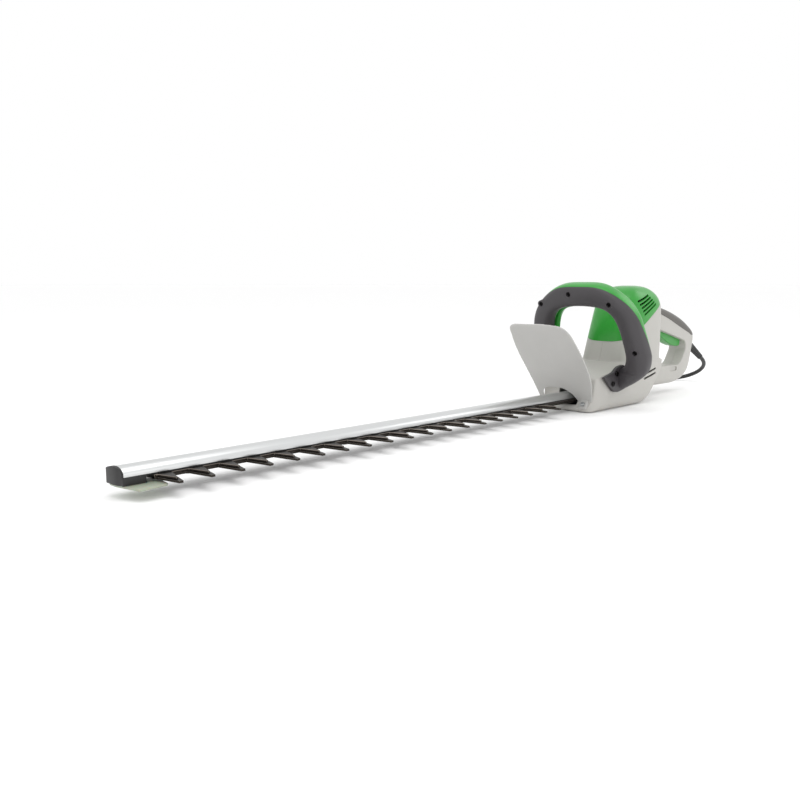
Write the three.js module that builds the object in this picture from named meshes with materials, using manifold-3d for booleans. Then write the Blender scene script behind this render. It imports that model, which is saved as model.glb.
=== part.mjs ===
// Mains-electric hedge trimmer with a single-sided blade, in millimetres, +Z up.
// +X runs along the bar to its tip and +Y is the toothed side.  The origin is on the
// underside of the base, below the axis of the drive gear.
import * as THREE from 'three';
import { mergeVertices } from 'three/addons/utils/BufferGeometryUtils.js';
import Module from 'manifold-3d';

const wasm = await Module();
wasm.setup();

// ---------------------------------------------------------------- driving dimensions
const GAP = 0.3;                 // clearance between neighbouring pieces
const WALL = 2.8;                // wall of the moulded housings
const FAR = 400;                 // reach of a cutting tool that goes right through

const TOOTH_PITCH = 32;
const TOOTH_COUNT = 19;
const TIP_TOOTH_X = 750;         // middle of the tooth nearest the tip
const TOOTH_TIP_Y = 43;
const CUTTER_TIP_Y = 36;
const BLADE_EDGE_Y = 14;         // root line of the teeth
const BLADE_BACK_Y = -10;
const BLADE_END_X = 760;
const STROKE = 5;                // travel of each blade to either side of its middle
const LOWER_BLADE_Z = [13.6, 15.6];
const UPPER_BLADE_Z = [15.9, 17.9];
const STRIP_Z = [18.2, 19.2];
const BAR_Z = [19.5, 28];
const BAR_HALF_WIDTH = 13;
const BAR_X = [52, 788];
const CAP_FRONT_X = 792;
const BOLT_XS = [142, 334, 526, 718];

const ECCENTRIC_THROW = 5;
const ECCENTRIC_RADIUS = 11;
const MODULE = 1.25;
const PINION_TEETH = 9;
const GEAR_TEETH = 64;
const CENTRES = MODULE * (PINION_TEETH + GEAR_TEETH) / 2;
const MOTOR_X = -CENTRES;
const GEAR_Z = [20.2, 29.2];
const GEAR_PLATE_Z = [31.5, 35.5];
const SHAFT_RADIUS = 4;

const STATOR_Z = [66, 106];
const STATOR_RADIUS = 37;
const STATOR_FLAT_Y = 31;
const BORE_RADIUS = 22;

const LOOP_X = [27, 61];         // rear and front faces of the loop handle
const LOOP_PARTING_X = 44;
const FOOT_Y = 48.6;             // inner face of the loop's feet, against the base

const GRIP_HALF_WIDTH = 16;
const GRIP_BEVEL = 6;
const GRIP_WALL = 4.8;
const TRIGGER_PIVOT = [-147, 112];

const CORD_RADIUS = 3.5;

// ---------------------------------------------------------------- finishes
const finish = (color, roughness, metalness = 0) => {
  return new THREE.MeshStandardMaterial({ color, roughness, metalness });
};
const lightGrey = () => finish(0xcdcbc6, 0.5);
const green = () => finish(0x3dae45, 0.45);
const darkGrey = () => finish(0x5a565a, 0.6);
const black = () => finish(0x1c1b1c, 0.6);
const milky = () => finish(0xd7d4d0, 0.45);
const frosted = () => finish(0xaab2a0, 0.4);
const aluminium = () => finish(0xd4d6d6, 0.35, 1);
const bladeSteel = () => finish(0x55504b, 0.4, 1);
const steel = () => finish(0x9a9c9e, 0.35, 1);
const copper = () => finish(0xa8602c, 0.4, 1);
const brass = () => finish(0xb8964a, 0.4, 1);
const carbon = () => finish(0x2a2a2c, 0.8);

// ---------------------------------------------------------------- solids from geometries
function solidOf(geometry) {
  const bare = geometry.clone();
  bare.deleteAttribute('normal');
  bare.deleteAttribute('uv');
  const merged = mergeVertices(bare, 1e-4);
  return new wasm.Manifold(new wasm.Mesh({
    numProp: 3,
    vertProperties: new Float32Array(merged.attributes.position.array),
    triVerts: new Uint32Array(merged.index.array),
  }));
}

function geometryOf(solid) {
  const mesh = solid.getMesh();
  const geometry = new THREE.BufferGeometry();
  geometry.setAttribute('position', new THREE.BufferAttribute(mesh.vertProperties, 3));
  geometry.setIndex(new THREE.BufferAttribute(mesh.triVerts, 1));
  return geometry;
}

const join = (first, ...others) => others.reduce((a, b) => a.add(b), first);
const cut = (first, ...tools) => tools.reduce((a, b) => a.subtract(b), first);

function block([x0, x1], [y0, y1], [z0, z1]) {
  const geometry = new THREE.BoxGeometry(x1 - x0, y1 - y0, z1 - z0);
  geometry.translate((x0 + x1) / 2, (y0 + y1) / 2, (z0 + z1) / 2);
  return solidOf(geometry);
}

const shapeOf = (points) => new THREE.Shape(points.map(([a, b]) => new THREE.Vector2(a, b)));

const FRAMES = {                 // where a shape's right, up and depth directions go
  z: [[1, 0, 0], [0, 1, 0], [0, 0, 1]],
  y: [[-1, 0, 0], [0, 0, 1], [0, 1, 0]],
  x: [[0, 1, 0], [0, 0, 1], [1, 0, 0]],
};

// A plate whose outline lies across the named axis, from one height to the other.
// Outlines across z are (x, y), across y are (x, z) and across x are (y, z).
function plate(axis, shape, [from, to], bevel = 0, bevelSegments = 3) {
  const outline = axis === 'y' ? mirrored(shape) : shape;
  const geometry = new THREE.ExtrudeGeometry(outline, {
    depth: to - from - 2 * bevel,
    bevelEnabled: bevel > 0,
    bevelThickness: bevel,
    bevelSize: bevel,
    bevelOffset: -bevel,
    bevelSegments,
    curveSegments: 6,
  });
  geometry.translate(0, 0, from + bevel);
  const basis = FRAMES[axis].map((v) => new THREE.Vector3(...v));
  geometry.applyMatrix4(new THREE.Matrix4().makeBasis(...basis));
  return solidOf(geometry);
}

function mirrored(shape) {
  const flipped = shape.getPoints(6).map((p) => [-p.x, p.y]).reverse();
  return shapeOf(flipped);
}

// A turned solid about a vertical axis at (x, y), from (radius, z) points.
function turned([x, y], profile, segments = 24) {
  const points = profile.map(([r, z]) => new THREE.Vector2(r, z));
  const geometry = new THREE.LatheGeometry(points, segments);
  geometry.rotateX(Math.PI / 2);
  geometry.translate(x, y, 0);
  return solidOf(geometry);
}

const disc = (centre, radius, [z0, z1], segments = 24) => {
  return turned(centre, [[0, z0], [radius, z0], [radius, z1], [0, z1]], segments);
};
const ring = (centre, inner, outer, [z0, z1], segments = 24) => {
  return cut(disc(centre, outer, [z0, z1], segments), disc(centre, inner, [z0 - 1, z1 + 1], segments));
};

// A round bar between two points.
function rod(radius, from, to, segments = 16) {
  const a = new THREE.Vector3(...from);
  const b = new THREE.Vector3(...to);
  const geometry = new THREE.CylinderGeometry(radius, radius, a.distanceTo(b), segments);
  const turn = new THREE.Quaternion().setFromUnitVectors(
    new THREE.Vector3(0, 1, 0),
    b.clone().sub(a).normalize(),
  );
  geometry.applyQuaternion(turn);
  geometry.translate((a.x + b.x) / 2, (a.y + b.y) / 2, (a.z + b.z) / 2);
  return solidOf(geometry);
}

// Moves each edge of a closed outline towards its inside.
function inset(points, distance) {
  const area = points.reduce((sum, [x, y], i) => {
    const [nx, ny] = points[(i + 1) % points.length];
    return sum + x * ny - nx * y;
  }, 0);
  const side = Math.sign(area) * distance;
  const edges = points.map(([x, y], i) => {
    const [nx, ny] = points[(i + 1) % points.length];
    const length = Math.hypot(nx - x, ny - y);
    const along = [(nx - x) / length, (ny - y) / length];
    return { at: [x - along[1] * side, y + along[0] * side], along };
  });
  return edges.map((edge, i) => {
    const before = edges[(i + edges.length - 1) % edges.length];
    const cross = before.along[0] * edge.along[1] - before.along[1] * edge.along[0];
    if (Math.abs(cross) < 1e-3) {
      return edge.at;
    }
    const dx = edge.at[0] - before.at[0];
    const dy = edge.at[1] - before.at[1];
    const t = (dx * edge.along[1] - dy * edge.along[0]) / cross;
    return [before.at[0] + t * before.along[0], before.at[1] + t * before.along[1]];
  });
}

// An outline whose corners are rounded off, as a list of points.
function rounded(points, radius, steps = 4) {
  return points.flatMap(([x, y, ownRadius], i) => {
    const r = ownRadius ?? radius;
    const [px, py] = points[(i + points.length - 1) % points.length];
    const [nx, ny] = points[(i + 1) % points.length];
    const before = Math.hypot(px - x, py - y);
    const after = Math.hypot(nx - x, ny - y);
    const reach = Math.min(r, before / 2.05, after / 2.05);
    if (reach < 0.05) {
      return [[x, y]];
    }
    const curve = new THREE.QuadraticBezierCurve(
      new THREE.Vector2(x + (px - x) * reach / before, y + (py - y) * reach / before),
      new THREE.Vector2(x, y),
      new THREE.Vector2(x + (nx - x) * reach / after, y + (ny - y) * reach / after),
    );
    return curve.getPoints(steps).map((p) => [p.x, p.y]);
  });
}

const splinePoints = (points, count) => {
  const curve = new THREE.SplineCurve(points.map(([a, b]) => new THREE.Vector2(a, b)));
  return curve.getSpacedPoints(count).map((p) => [p.x, p.y]);
};

// A slab right across the model between two heights along the named axis.
const slab = (axis, [from, to]) => {
  const all = { x: [-FAR, 2 * FAR + 100], y: [-FAR, FAR], z: [-FAR, FAR] };
  all[axis] = [from, to];
  return block(all.x, all.y, all.z);
};

// ---------------------------------------------------------------- the scene
const trimmer = new THREE.Group();

function add(name, solid, material) {
  const mesh = new THREE.Mesh(geometryOf(solid), material);
  mesh.name = name;
  trimmer.add(mesh);
}

// ---------------------------------------------------------------- bar and blades
const toothXs = Array.from({ length: TOOTH_COUNT }, (_, i) => TIP_TOOTH_X - i * TOOTH_PITCH);
const slotLength = STROKE + GAP;

function blade([z0, z1], tipY, rootHalf, tipHalf) {
  const yokeHalfX = 27.5;
  const yokeHalfY = 22;
  const windowHalfX = ECCENTRIC_RADIUS + 2 * STROKE + 0.5;
  const windowHalfY = ECCENTRIC_RADIUS + ECCENTRIC_THROW + 0.5;
  const edge = [
    [-yokeHalfX, -yokeHalfY],
    [yokeHalfX, -yokeHalfY],
    [yokeHalfX + 10, BLADE_BACK_Y],
    [BLADE_END_X, BLADE_BACK_Y],
    [BLADE_END_X, BLADE_EDGE_Y],
  ];
  toothXs.forEach((x) => {
    edge.push([x + rootHalf, BLADE_EDGE_Y], [x + tipHalf, tipY]);
    edge.push([x - tipHalf, tipY], [x - rootHalf, BLADE_EDGE_Y]);
  });
  edge.push([yokeHalfX + 10, BLADE_EDGE_Y], [yokeHalfX, yokeHalfY], [-yokeHalfX, yokeHalfY]);
  const window = block([-windowHalfX, windowHalfX], [-windowHalfY, windowHalfY], [z0 - 1, z1 + 1]);
  const slots = BOLT_XS.map((x) => {
    const half = 3.9;
    const slot = rounded([
      [x - slotLength - half, -half], [x + slotLength + half, -half],
      [x + slotLength + half, half], [x - slotLength - half, half],
    ], half, 3);
    return plate('z', shapeOf(slot), [z0 - 1, z1 + 1]);
  });
  return cut(plate('z', shapeOf(edge), [z0, z1]), window, ...slots);
}

// The bar's section: flat below, crowned on top, with its far wall standing up square.
function barSection(wall) {
  const top = BAR_Z[1] - wall;
  const bottom = BAR_Z[0] + wall;
  const side = BAR_HALF_WIDTH - wall;
  const crownY = 1;
  const springZ = bottom + 1;
  const nearArc = Array.from({ length: 6 }, (_, i) => {
    const angle = (i / 5) * Math.PI / 2;
    return [crownY + (side - crownY) * Math.cos(angle), springZ + (top - springZ) * Math.sin(angle)];
  });
  const farFall = 3.5;
  const farArc = [1 / 3, 2 / 3, 1].map((part) => {
    return [crownY - (side + crownY) * part, top - farFall * part ** 2];
  });
  return [[-side, bottom], [side, bottom], ...nearArc, ...farArc];
}

const barWall = 1.7;
const barHollow = plate('x', shapeOf(barSection(barWall)), [BAR_X[0] - 1, BAR_X[1] + 1]);
const barScrewXs = [60, 76];
const barProfile = cut(
  plate('x', shapeOf(barSection(0)), BAR_X),
  barHollow,
  ...BOLT_XS.map((x) => disc([x, 0], 2.9, [15, 24], 12)),
  ...barScrewXs.map((x) => disc([x, -7], 2.9, [23, 40], 12)),
);
const stripXs = [50, 766];
const slideStrip = cut(
  block(stripXs, [-11.5, 12.6], STRIP_Z),
  ...BOLT_XS.map((x) => disc([x, 0], 3.9, [15, 24], 12)),
);
const bladeBolt = (x) => turned([x, 0], [
  [0, 10.4], [5.2, 10.4], [6, 11.2], [6, 13.3], [3.6, 13.3], [3.6, 19.1], [2.6, 19.1], [2.6, 23], [0, 23],
], 8);

function endCap() {
  const backX = BAR_X[1] + GAP;
  const underside = 11.8;
  const plan = shapeOf([
    [backX, -13.4], [CAP_FRONT_X - 1.4, -13.4], [CAP_FRONT_X, -12.2], [CAP_FRONT_X, 1.5],
    [CAP_FRONT_X - 1, 6.5], [CAP_FRONT_X - 3, 10.8], [backX, 12.4],
  ]);
  const section = barSection(-0.4).map(([y, z]) => [y, z < BAR_Z[0] ? underside : z]);
  const across = plate('x', shapeOf(section), [780, 810]);
  const face = plate('z', plan, [underside, 40]).intersect(across);
  const tongue = block([767, backX + 1], [-13, 13], [underside, 19.2]);
  const plug = plate('x', shapeOf(barSection(barWall + GAP)), [780, backX + 1]);
  return join(face, tongue, plug);
}

const tipGuard = plate('z', shapeOf(rounded([
  [748, -12], [790, -12], [790, 0], [783, 31], [754, 28],
], 2.5)), [9.3, 11.5]);

add('bar_profile', barProfile, aluminium());
add('slide_strip', slideStrip, black());
add('upper_blade', blade(UPPER_BLADE_Z, CUTTER_TIP_Y, 7.4, 0.9), bladeSteel());
add('lower_blade', blade(LOWER_BLADE_Z, TOOTH_TIP_Y, 8.6, 2), bladeSteel());
add('end_cap', endCap(), black());
add('tip_guard', tipGuard, frosted());
BOLT_XS.forEach((x, i) => add(`blade_bolt_${i + 1}`, bladeBolt(x), steel()));

// ---------------------------------------------------------------- drive gear and motor
function gearOutline(teeth, phase) {
  const pitchRadius = MODULE * teeth / 2;
  const levels = [
    [pitchRadius - 1.35, 1.15], [pitchRadius + 0.9, 0.42],
  ];
  const points = [];
  for (let i = 0; i < teeth; i += 1) {
    const middle = phase + (i * 2 * Math.PI) / teeth;
    const flank = (sign, list) => list.map(([r, half]) => {
      const angle = middle + sign * half / r;
      return [r * Math.cos(angle), r * Math.sin(angle)];
    });
    points.push(...flank(-1, levels), ...flank(1, [...levels].reverse()));
  }
  return points;
}

const gearPhase = Math.PI + Math.PI / GEAR_TEETH;
const gearBlank = plate('z', shapeOf(gearOutline(GEAR_TEETH, gearPhase)), GEAR_Z);
const driveGear = cut(
  join(
    gearBlank,
    disc([0, 0], 10, [18.3, 20.7], 20),
    disc([0, ECCENTRIC_THROW], ECCENTRIC_RADIUS, [15.75, 18.5], 20),
    disc([0, -ECCENTRIC_THROW], ECCENTRIC_RADIUS, [13.4, 15.9], 20),
    disc([0, 0], 9, [28.7, 31.1], 20),
  ),
  disc([0, 0], SHAFT_RADIUS + GAP, [0, 40], 16),
  ...[0, 1, 2, 3, 4].map((i) => {
    const angle = (i * 2 * Math.PI) / 5;
    return disc([25 * Math.cos(angle), 25 * Math.sin(angle)], 7, [0, 40], 8);
  }),
);
const gearShaft = turned([0, 0], [[0, 3.8], [3.4, 3.8], [4, 4.4], [4, 40.2], [0, 40.2]], 16);

const pinionOutline = gearOutline(PINION_TEETH, 0).map(([x, y]) => [x + MOTOR_X, y]);
const armatureShaft = join(
  turned([MOTOR_X, 0], [
    [0, 19.4], [3.6, 19.4], [SHAFT_RADIUS, 20], [SHAFT_RADIUS, 146.5], [3.4, 147.4], [0, 147.4],
  ], 16),
  plate('z', shapeOf(pinionOutline), [19.8, 30]),
);
const motorAxis = [MOTOR_X, 0];
const onShaft = SHAFT_RADIUS + GAP;
const armatureCore = turned(motorAxis, [
  [onShaft, 60], [13, 60], [17, 62], [18, 65.6], [21, 66], [21, 106], [18, 106.4], [17, 111],
  [13, 113], [onShaft, 113], [onShaft, 60],
], 20);
const commutator = turned(motorAxis, [
  [onShaft, 115], [10, 115], [10, 117.5], [11.5, 117.5], [11.5, 131], [onShaft, 131], [onShaft, 115],
], 16);
const fanRadius = 32;
const fanBlade = (i) => {
  const angle = (i * 2 * Math.PI) / 9;
  const geometry = new THREE.BoxGeometry(22.5, 1.4, 9.5);
  geometry.translate(19.5, 0, 51.5);
  geometry.rotateZ(angle);
  geometry.translate(MOTOR_X, 0, 0);
  return solidOf(geometry);
};
const coolingFan = cut(
  join(
    disc(motorAxis, fanRadius, [45.5, 47.2], 24),
    disc(motorAxis, 9, [45.5, 57], 18),
    ...Array.from({ length: 9 }, (_, i) => fanBlade(i)),
  ),
  disc(motorAxis, onShaft, [40, 60], 16),
);
const bearing = ([z0, z1]) => ring(motorAxis, onShaft, 10.7, [z0, z1], 14);

const sector = (inner, outer, middle, half, [z0, z1]) => {
  const shape = new THREE.Shape();
  shape.absarc(MOTOR_X, 0, outer, middle - half, middle + half, false);
  shape.absarc(MOTOR_X, 0, inner, middle + half, middle - half, true);
  return plate('z', shape, [z0, z1]);
};
const coilHalfAngle = 0.98;
const legAngle = 0.2;
const fieldCoil = (middle) => cut(
  sector(24, 31.5, middle, coilHalfAngle, [58.5, 113.5]),
  sector(23, 33, middle, coilHalfAngle - legAngle, [65.4, 106.6]),
);
const coilSlot = (middle) => cut(
  sector(24 - GAP, 31.5 + GAP, middle, coilHalfAngle + 0.012, [50, 120]),
  sector(23, 33, middle, coilHalfAngle - legAngle - 0.014, [40, 130]),
);
const stator = cut(
  disc(motorAxis, STATOR_RADIUS, STATOR_Z, 28).intersect(
    slab('y', [-STATOR_FLAT_Y, STATOR_FLAT_Y]),
  ),
  disc(motorAxis, BORE_RADIUS, [50, 120], 28),
  coilSlot(0),
  coilSlot(Math.PI),
);
const brushZ = [121, 128];
const brush = (side) => {
  return block([MOTOR_X - 3, MOTOR_X + 3], side > 0 ? [12, 24] : [-24, -12], brushZ);
};
const brushHolder = (side) => cut(
  block(
    [MOTOR_X - 5.6, MOTOR_X + 5.6],
    side > 0 ? [14, 30] : [-30, -14],
    [brushZ[0] - 2.6, brushZ[1] + 2.6],
  ),
  block(
    [MOTOR_X - 3 - GAP, MOTOR_X + 3 + GAP],
    side > 0 ? [13, 27] : [-27, -13],
    [brushZ[0] - GAP, brushZ[1] + GAP],
  ),
);

const gearPlateOutline = rounded([[-78, -40], [30, -42], [84, -24], [84, 24], [30, 42], [-78, 40]], 8);
const lowerBearingZ = [36, 43];
const upperBearingZ = [135, 142];
const gearPlate = cut(
  join(
    plate('z', shapeOf(gearPlateOutline), GEAR_PLATE_Z),
    disc(motorAxis, 14.5, [35, 43], 16),
    disc([0, 0], 9, [35, 40], 12),
    ...barScrewXs.map((x) => disc([x, -7], 5.5, [BAR_Z[1] + GAP, 32], 10)),
  ),
  disc(motorAxis, 11, [lowerBearingZ[0] - GAP, 60], 16),
  disc(motorAxis, 8, [20, 60], 12),
  disc([0, 0], SHAFT_RADIUS + GAP, [20, 60], 16),
  ...barScrewXs.map((x) => disc([x, -7], 2.9, [20, 60], 12)),
);
const barScrew = (x) => turned([x, -7], [
  [0, 23.6], [2.5, 23.6], [2.5, 35.8], [4.6, 35.8], [4.6, 38.6], [0, 38.6],
], 12);

add('drive_gear', driveGear, steel());
add('gear_shaft', gearShaft, steel());
add('gear_plate', gearPlate, aluminium());
barScrewXs.forEach((x, i) => add(`bar_screw_${i + 1}`, barScrew(x), steel()));
add('armature_shaft', armatureShaft, steel());
add('armature_core', armatureCore, steel());
add('commutator', commutator, copper());
add('cooling_fan', coolingFan, black());
add('lower_bearing', bearing(lowerBearingZ), steel());
add('upper_bearing', bearing(upperBearingZ), steel());
add('stator', stator, steel());
add('field_coil_front', fieldCoil(0), copper());
add('field_coil_rear', fieldCoil(Math.PI), copper());
add('brush_left', brush(1), carbon());
add('brush_right', brush(-1), carbon());
add('brush_holder_left', brushHolder(1), brass());
add('brush_holder_right', brushHolder(-1), brass());

// ---------------------------------------------------------------- housing forms
const basePlan = [
  [102, -30], [90, -44], [60, -48], [-60, -48], [-112, -44], [-112, 44], [-60, 48], [60, 48],
  [90, 44], [102, 30],
];
const baseSide = [
  [-46, 0], [97, 0], [101, 5], [92, 15], [88, 49], [14, 66], [-106, 66], [-102, 50], [-81, 30],
];
const baseSection = [
  [-40, 0, 3], [40, 0, 3], [46.5, 7, 5], [48.3, 20, 6], [48.3, 68, 8], [-48.3, 68, 8], [-48.3, 20, 6],
  [-46.5, 7, 5],
];
function baseForm(depth) {
  const plan = plate('z', shapeOf(rounded(inset(basePlan, depth), 10)), [-10, 100]);
  const side = plate('y', shapeOf(rounded(inset(baseSide, depth), 4, 2)), [-60, 60]);
  const front = plate('x', shapeOf(rounded(inset(baseSection, depth), 4, 2)), [-150, 150]);
  return plan.intersect(side).intersect(front);
}

// Sections of the motor tower: height, front, rear and half width.
const TOWER = [
  [44, 16, -116, 47], [66, 9, -119, 46], [100, -1, -123, 43.5], [141, -14, -126, 40.5],
  [155, -19, -122, 38.5], [165, -26, -115, 34.5], [173, -35, -104, 28], [178, -46, -90, 20],
  [180, -59, -77, 9],
];
const SQUARENESS = 3.3;          // 2 is an ellipse, more is squarer

function towerForm(depth) {
  const segments = 24;
  const levels = TOWER.map(([z, front, rear, half], i) => {
    const fromTop = Math.max(0, i - 5);
    const side = depth * (1 + fromTop * 0.35);
    return [z - (i > 3 ? depth * (i - 3) / 5 : 0), front - side, rear + side, Math.max(1, half - side)];
  });
  const first = levels[0];
  const last = levels[levels.length - 1];
  const profile = [[0, first[0]], ...levels.map(([z]) => [1, z]), [0, last[0]]];
  const points = profile.map(([r, z]) => new THREE.Vector2(r, z));
  const geometry = new THREE.LatheGeometry(points, segments);
  geometry.rotateX(Math.PI / 2);
  const position = geometry.attributes.position;
  for (let i = 0; i < position.count; i += 1) {
    const z = position.getZ(i);
    const level = levels.find((entry) => Math.abs(entry[0] - z) < 1e-3);
    const centre = (level[1] + level[2]) / 2;
    const x = position.getX(i);
    const y = position.getY(i);
    const power = 2 / SQUARENESS;
    const nx = Math.sign(x) * Math.abs(x) ** power;
    const ny = Math.sign(y) * Math.abs(y) ** power;
    position.setXYZ(i, centre + nx * (level[1] - level[2]) / 2, ny * level[3], z);
  }
  return solidOf(geometry);
}

// Side outline of the rear handle and of the hand opening in it.
const HANDLE_OUTER = [
  [-90, 152, 0], [-150, 145.5, 30], [-190, 136.5, 30], [-236, 121.5, 30], [-278, 98, 17],
  [-268, 62, 20], [-260, 36, 12], [-243, 22, 14], [-213, 15, 20], [-90, 16.5, 0],
];
const HAND_OPENING = [
  [-127, 48, 8], [-224, 45.5, 10], [-245, 73, 7], [-239, 86, 4], [-150, 108, 12], [-127, 116, 8],
];
function handleForm(depth) {
  const outer = rounded(HANDLE_OUTER, 10, 3);
  const opening = rounded(HAND_OPENING, 8, 3);
  const half = GRIP_HALF_WIDTH - depth;
  const bevel = GRIP_BEVEL - depth;
  const body = plate('y', shapeOf(inset(outer, depth)), [-half, half], bevel, 2);
  const hole = plate('y', shapeOf(inset(opening, -depth)), [-60, 60]);
  return cut(body, hole);
}

// Side view of the green cover's lower edge: level at the front, rising to the rear.
const COVER_EDGE = [[60, 92], [8, 93], [-12, 101], [-130, 165]];
const aboveCoverEdge = (shift) => plate('y', shapeOf([
  ...COVER_EDGE.map(([x, z]) => [x, z + shift]), [-130, 260], [60, 260],
]), [-80, 80]);

const outerForm = join(baseForm(0), towerForm(0).intersect(slab('z', [44, 400])), handleForm(0));
const towerHollow = towerForm(WALL);
const innerForm = join(
  baseForm(WALL),
  towerHollow,
  handleForm(GRIP_WALL),
);
const bodyShell = cut(outerForm, innerForm);

// ---------------------------------------------------------------- openings in the housing
const coverPoints = rounded([
  [-36, -35], [78, -35], [88, -27], [88, 27], [78, 35], [-36, 35],
], 6, 3);
const bottomCut = plate('z', shapeOf(inset(coverPoints, -GAP)), [-5, 6]);
const bladeCut = block([80, 120], [-16, 18], [9.5, 34]);

// Soft grip insert: a saddle over the top of the rear handle.
const INSERT_BAND = [
  [-128, 180], [-128, 139], [-147, 134.5], [-180, 124.5], [-223, 109], [-251, 99.5], [-262, 94.5],
  [-300, 92], [-300, 180],
];
const insertBand = (grow) => plate('y', shapeOf(inset(INSERT_BAND, -grow)), [-60, 60]);
const insertForm = handleForm(-0.5);
const insertCore = handleForm(2.2);
const gripInsert = cut(insertForm.intersect(insertBand(0)), insertCore);
const insertSeat = cut(insertBand(GAP), handleForm(2.2 + GAP));

const triggerSlot = plate('y', shapeOf([
  [-136, 100], [-239, 72], [-239, 96], [-136, 126],
]), [-8.2, 8.2]);
const reliefExit = new THREE.Vector3(-280, 0, 79);
const reliefEnd = new THREE.Vector3(-339, 0, 48);
const reliefWay = reliefEnd.clone().sub(reliefExit).normalize();
const along = (distance) => reliefExit.clone().addScaledVector(reliefWay, distance).toArray();
const reliefHole = rod(7.2, along(-20), along(30), 16);

const sideSlot = ([x0, z0], [x1, z1], height) => plate('y', shapeOf([
  [x0, z0], [x1, z1], [x1, z1 + height], [x0, z0 + height],
]), [-80, 80]);
const exhaustSlots = [36.5, 43.5].map((z) => sideSlot([-42, z], [-82, z + 7], 3.4));
const intakeSlots = [0, 1, 2, 3, 4].map((i) => sideSlot(
  [-37 - 3.2 * i, 154 - 5.1 * i],
  [-71 - 4 * i, 164 - 3.4 * i],
  3,
));
const SHIELD_SCREW_Y = 32;
const shieldScrewHole = (side) => {
  return rod(2.2, [93, side * SHIELD_SCREW_Y, 5.17], [106, side * SHIELD_SCREW_Y, 16], 10);
};
const sideRecess = plate('y', shapeOf(rounded([
  [-213, 36], [-187, 36], [-187, 43.5], [-213, 43.5],
], 6)), [-60, 60]);
const recessKeep = slab('y', [-GRIP_HALF_WIDTH + 1.2, GRIP_HALF_WIDTH - 1.2]);

const housing = cut(
  bodyShell,
  aboveCoverEdge(-GAP / 2),
  bottomCut,
  bladeCut,
  insertSeat,
  triggerSlot,
  reliefHole,
  cut(sideRecess, recessKeep),
  shieldScrewHole(1),
  shieldScrewHole(-1),
  ...exhaustSlots,
);
const topCover = cut(
  cut(towerForm(0), towerHollow).intersect(aboveCoverEdge(GAP / 2)),
  ...intakeSlots,
);

const halfGap = GAP / 2;
const leftSide = slab('y', [halfGap, FAR]);
const rightSide = slab('y', [-FAR, -halfGap]);
const [pivotX, pivotZ] = TRIGGER_PIVOT;
const pinHole = rod(2.5 + GAP, [pivotX, -13.6, pivotZ], [pivotX, 13.6, pivotZ]);
const largest = (solid) => solid.decompose().sort((a, b) => b.volume() - a.volume())[0];

const coverScrewXYs = [[-28, -28], [-28, 28], [70, -28], [70, 28]];
const coverBoss = ([x, y]) => {
  const wallY = Math.sign(y) * 46.5;
  return cut(
    join(
      disc([x, y], 4.5, [3 + GAP, 12], 10),
      block([x - 2, x + 2], [Math.min(y, wallY), Math.max(y, wallY)], [7, 12]),
    ),
    disc([x, y], 1.8 + GAP, [0, 10.5], 8),
  );
};
const coverBosses = coverScrewXYs.map(coverBoss);
const baseCover = cut(
  join(plate('z', shapeOf(coverPoints), [0, 3]), disc([0, 0], 9, [2.5, 9], 20)),
  disc([0, 0], SHAFT_RADIUS + GAP, [3.4, 12], 16),
  ...coverScrewXYs.map((place) => disc(place, 2.1, [-1, 4], 8)),
  ...coverScrewXYs.map((place) => disc(place, 3.6, [-1, 1.6], 8)),
);
const coverScrew = (place) => turned(place, [
  [0, 0.2], [3.2, 0.2], [3.2, 1.3], [1.8, 1.3], [1.8, 10], [0, 10],
], 8);

const housingHalf = (side) => largest(cut(join(housing, ...coverBosses).intersect(side), pinHole));
add('housing_left', housingHalf(leftSide), lightGrey());
add('housing_right', housingHalf(rightSide), lightGrey());
add('top_cover', largest(topCover), green());
add('base_cover', baseCover, lightGrey());
coverScrewXYs.forEach((place, i) => add(`base_cover_screw_${i + 1}`, coverScrew(place), steel()));
add('grip_insert', largest(gripInsert), darkGrey());

// ---------------------------------------------------------------- trigger, switches and capacitor
const triggerOutline = rounded([
  [-139.5, 117, 3], [-141, 108, 4], [-164, 98, 10], [-194, 83.5, 14], [-218, 77, 8], [-235, 77, 4],
  [-236, 88, 4], [-222, 98, 4], [-152, 119, 3],
], 4, 3);
const trigger = cut(
  plate('y', shapeOf(triggerOutline), [-7.8, 7.8], 1.6, 1),
  rod(2.5 + GAP, [pivotX, -20, pivotZ], [pivotX, 20, pivotZ]),
);
add('trigger', trigger, green());
add('trigger_pin', rod(2.5, [pivotX, -13.2, pivotZ], [pivotX, 13.2, pivotZ], 14), steel());
add('main_switch', block([-212, -190], [-9, 9], [112.5, 124]), black());
add('capacitor', block([-259, -245], [-6, 6], [92, 102]), finish(0xc9a227, 0.5));

// ---------------------------------------------------------------- loop handle
const LOOP_OUTER_HALF = [
  [0, 184.5], [30, 183], [52, 174], [73, 157], [85, 138], [90.5, 116], [95.5, 90], [97, 74], [91, 56],
  [75, 43], [57, 33], [FOOT_Y, 28],
];
const LOOP_INNER_HALF = [
  [0, 152], [24, 150.5], [40, 146.5], [51, 137], [58, 121], [62.5, 99], [64.5, 81], [60, 67], [FOOT_Y, 60],
];
function loopOutline(depth) {
  const outer = splinePoints(LOOP_OUTER_HALF, 12);
  const inner = splinePoints(LOOP_INNER_HALF, 9);
  const flip = (points) => points.map(([y, z]) => [-y, z]).reverse();
  const back = [...inner].reverse();
  const closed = [...flip(outer), ...outer.slice(1), ...back, ...flip(back).slice(1)];
  return depth ? inset(closed, depth) : closed;
}
const loopInnerOutline = (grow) => {
  const inner = splinePoints(LOOP_INNER_HALF, 9);
  const mirror = inner.map(([y, z]) => [-y, z]).reverse();
  return inset([...mirror, ...inner.slice(1)], -grow);
};

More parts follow.
